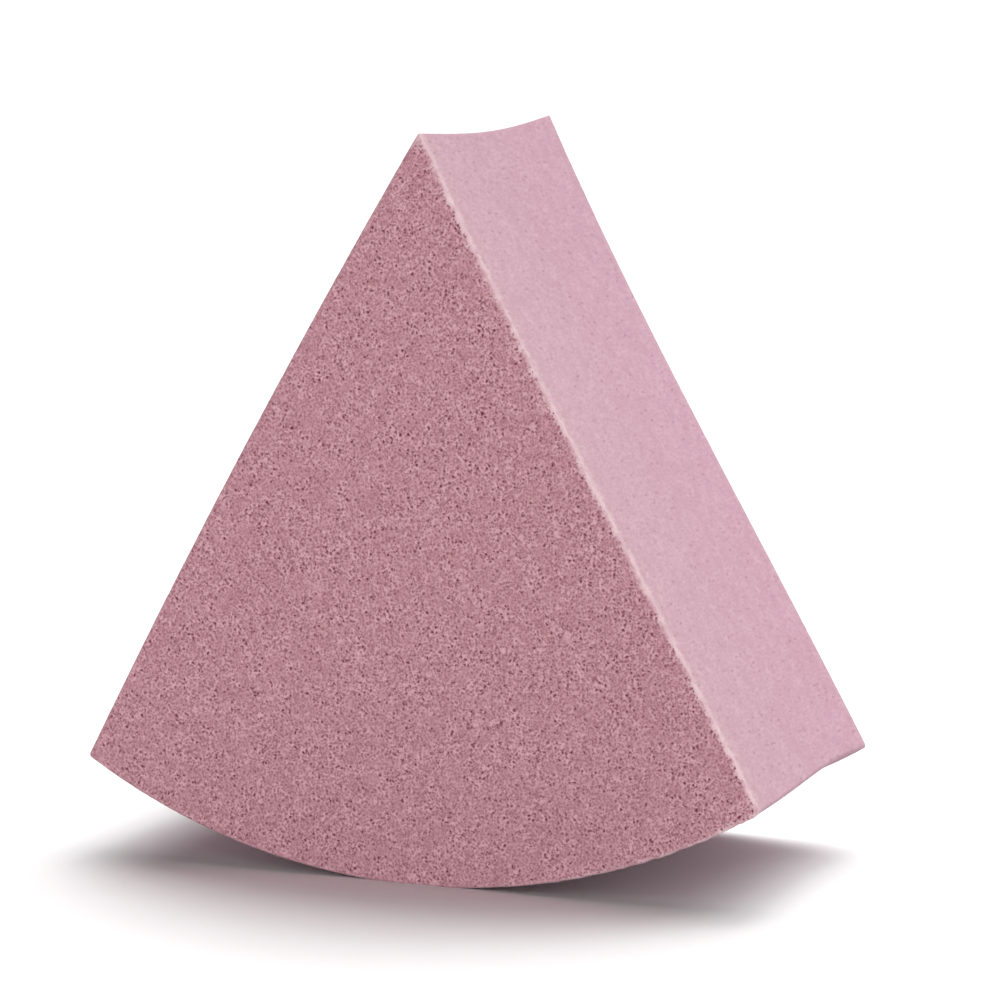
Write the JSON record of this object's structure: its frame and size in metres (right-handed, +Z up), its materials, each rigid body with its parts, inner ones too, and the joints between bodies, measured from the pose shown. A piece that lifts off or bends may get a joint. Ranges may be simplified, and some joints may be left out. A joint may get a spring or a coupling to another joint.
{
  "type": "powder puff",
  "caption": "Wedge-shaped make-up puff: a slice of a round foam cake, with flat porous faces and smooth cut walls, for putting on powder or foundation.",
  "frame": {"origin": "on the floor under the middle of the slice, which stands on its arc with its apex up", "axes": "+Z up from the arc to the apex, +Y through the thickness from the front face to the back face, +X to the right as seen from the front"},
  "size_m": [0.0494, 0.025, 0.0516],
  "materials": {
    "foam": "matt dusty rose open-cell foam rubber, porous on the two flat faces and smooth on the cut walls"
  },
  "bodies": {
    "root": {"foam_wedge": "foam"}
  },
  "joints": []
}
